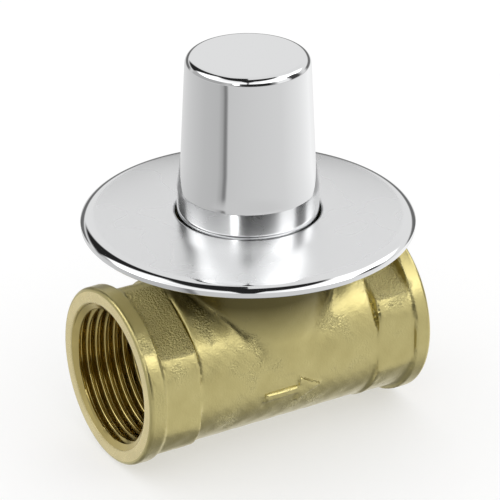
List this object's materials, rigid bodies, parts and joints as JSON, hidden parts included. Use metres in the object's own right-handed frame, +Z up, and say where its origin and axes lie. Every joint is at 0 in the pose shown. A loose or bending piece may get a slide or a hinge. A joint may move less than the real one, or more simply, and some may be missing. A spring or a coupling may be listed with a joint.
{
  "type": "concealed stop valve",
  "caption": "Brass stop valve for mounting in a wall, with a female thread at each end, a smooth chrome knob and a round chrome rosette.",
  "frame": {"origin": "centre of the inlet mouth, on the pipe axis", "axes": "+X along the pipe from the inlet to the outlet, +Z up the spindle towards the knob, Y across"},
  "size_m": [0.059, 0.059, 0.0711],
  "materials": {
    "forged_brass": "raw hot-forged brass with machined end faces",
    "turned_brass": "turned",
    "knob_chrome": "polished chrome plate",
    "rosette_chrome": "polished chrome plate",
    "black_rubber": "moulded",
    "washer_rubber": "moulded",
    "red_fibre": "pressed fibre",
    "white_nylon": "moulded",
    "slip_plastic": "smooth",
    "spring_steel": "stamped",
    "screw_steel": "zinc plated",
    "foam": "closed-cell foam"
  },
  "bodies": {
    "base": {"valve_body": "forged_brass", "headwork_body": "turned_brass", "headwork_gasket": "red_fibre"},
    "turning": {"knob": "knob_chrome", "grip_ring": "black_rubber", "spline_adapter": "white_nylon", "adapter_screw": "screw_steel", "spindle": "turned_brass", "spindle_o_rings": "black_rubber", "thrust_washer": "slip_plastic", "retaining_ring": "spring_steel"},
    "carrier": {"washer_carrier": "turned_brass", "seat_washer": "washer_rubber", "washer_screw": "turned_brass"},
    "rosette": {"rosette": "rosette_chrome", "rosette_seal": "foam"}
  },
  "joints": [
    {"name": "knob_turn", "type": "hinge", "parent": "base", "child": "turning", "pos_m": [0.0288, 0, 0.0276], "axis": [0, 0, 1], "range_deg": [0, 1260]},
    {"name": "carrier_lift", "type": "slide", "parent": "base", "child": "carrier", "axis": [0, 0, 1], "range_m": [0, 0.00614]},
    {"name": "rosette_slide", "type": "slide", "parent": "base", "child": "rosette", "axis": [0, 0, 1], "range_m": [0, 0.015]}
  ],
  "couplings": [
    {"joint": "carrier_lift", "follows": "knob_turn", "m_per_rad": 0.00027852}
  ]
}
